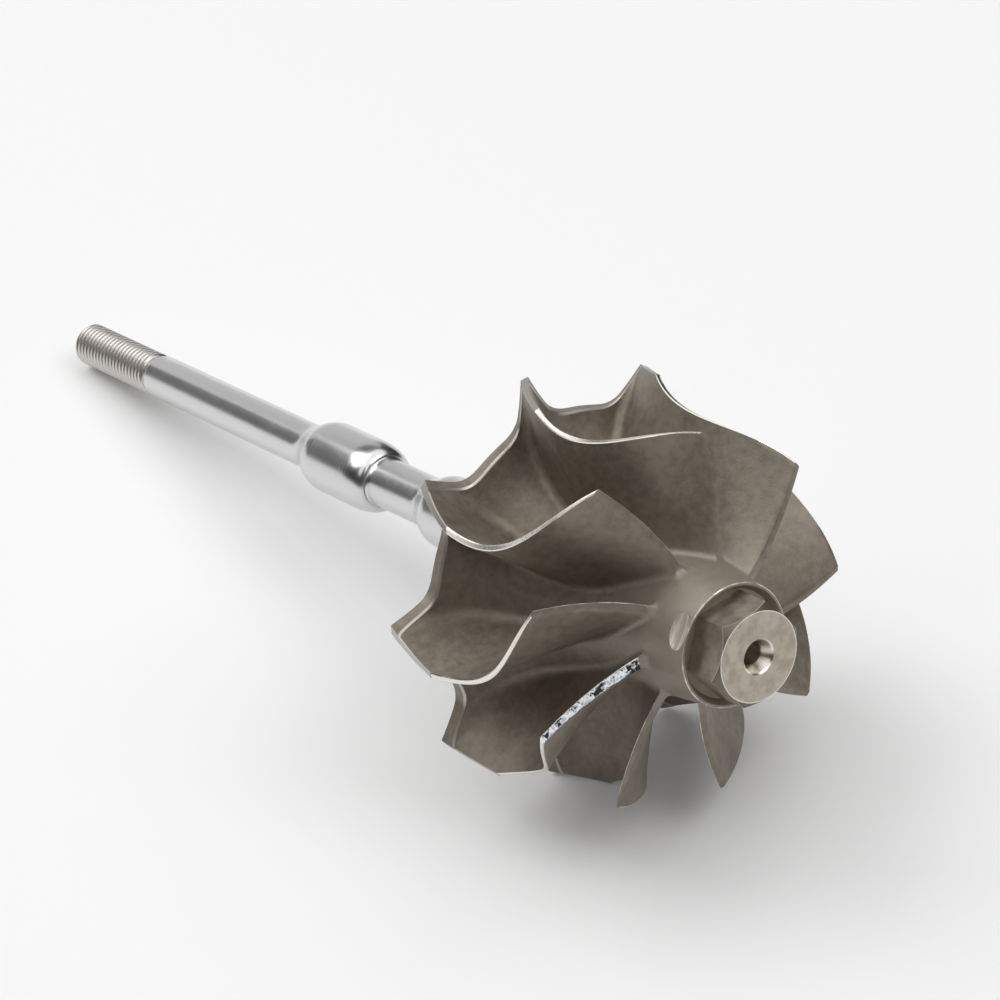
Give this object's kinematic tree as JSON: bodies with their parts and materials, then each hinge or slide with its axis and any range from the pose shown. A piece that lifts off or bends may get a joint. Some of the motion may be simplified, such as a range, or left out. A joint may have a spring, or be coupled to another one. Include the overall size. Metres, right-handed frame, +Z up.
{
  "type": "turbocharger shaft and wheel",
  "caption": "Turbocharger rotor: cast radial turbine wheel with curved blades, scalloped back disc and hexagonal nose, joined to a slim stepped steel shaft with a threaded end.",
  "frame": {"origin": "on the floor that the rotor lies on, under the middle of its box", "axes": "+Z up, +Y level from the wheel's nose end towards the threaded end, +X to the right seen from the nose; the rotor's own axis rises 10.9 degrees towards the nose, which points to -Y"},
  "size_m": [0.0554, 0.1588, 0.0547],
  "materials": {
    "wheel_casting": "investment cast heat-resisting alloy, fine-grained matt skin in a warm grey brown, bright where it is ground",
    "shaft_steel": "turned and ground steel, bright, with fine rings round the axis",
    "thread_steel": "rolled thread, a little duller than the ground shaft"
  },
  "bodies": {
    "root": {"scalloped_disc": "wheel_casting", "wheel_hub": "wheel_casting", "blade_1": "wheel_casting", "blade_2": "wheel_casting", "blade_3": "wheel_casting", "blade_4": "wheel_casting", "blade_5": "wheel_casting", "blade_6": "wheel_casting", "blade_7": "wheel_casting", "blade_8": "wheel_casting", "blade_9": "wheel_casting", "nose_hex": "wheel_casting", "seal_boss": "shaft_steel", "turbine_journal": "shaft_steel", "shaft_waist": "shaft_steel", "compressor_journal": "shaft_steel", "stub_shaft": "shaft_steel", "threaded_end": "thread_steel"}
  },
  "joints": []
}
